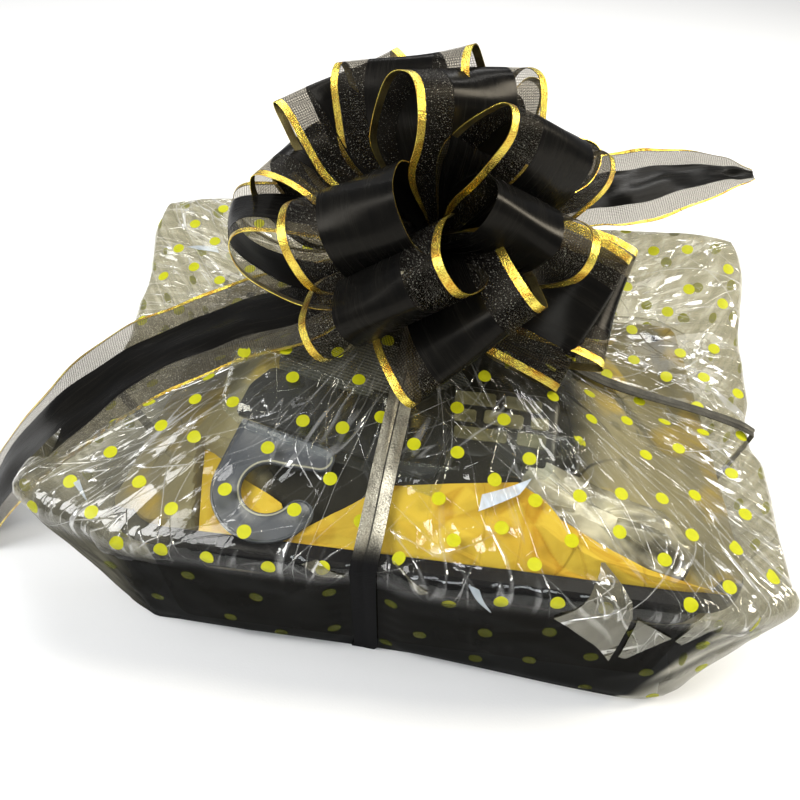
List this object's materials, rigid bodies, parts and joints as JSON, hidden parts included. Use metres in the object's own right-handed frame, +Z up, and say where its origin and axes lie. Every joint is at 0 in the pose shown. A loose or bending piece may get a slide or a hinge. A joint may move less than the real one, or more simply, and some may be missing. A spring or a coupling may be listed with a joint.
{
  "type": "wrapped gift basket",
  "caption": "Rectangular tray of packed gifts on tissue, wrapped in clear dotted film that is gathered on top, tied crosswise with ribbon and finished with a looped bow.",
  "frame": {"origin": "middle of the tray's underside, on the surface that the basket stands on", "axes": "+X to the right along the tray's front, +Y to the back, +Z up"},
  "size_m": [0.4073, 0.2578, 0.24],
  "materials": {
    "tray_plastic": "gloss black",
    "tissue_paper": "matt yellow",
    "card": "satin black",
    "hook_plastic": "satin grey",
    "cloth": "knitted dark grey",
    "printed_card": "satin black with grey print",
    "pouch_film": "gloss dark grey",
    "clear_film": "clear film with yellow dots",
    "tie_ribbon": "silver grey",
    "bow_ribbon": "black satin with gold edges"
  },
  "bodies": {
    "root": {"tray": "tray_plastic", "tissue": "tissue_paper", "hanger_card": "card", "hanger_hook": "hook_plastic", "clothing_pack": "cloth", "printed_pack": "printed_card", "pouch": "pouch_film", "film_wrap": "clear_film", "ribbon_tie": "tie_ribbon", "bow": "bow_ribbon", "tail_left": "bow_ribbon", "tail_right": "bow_ribbon"}
  },
  "joints": []
}
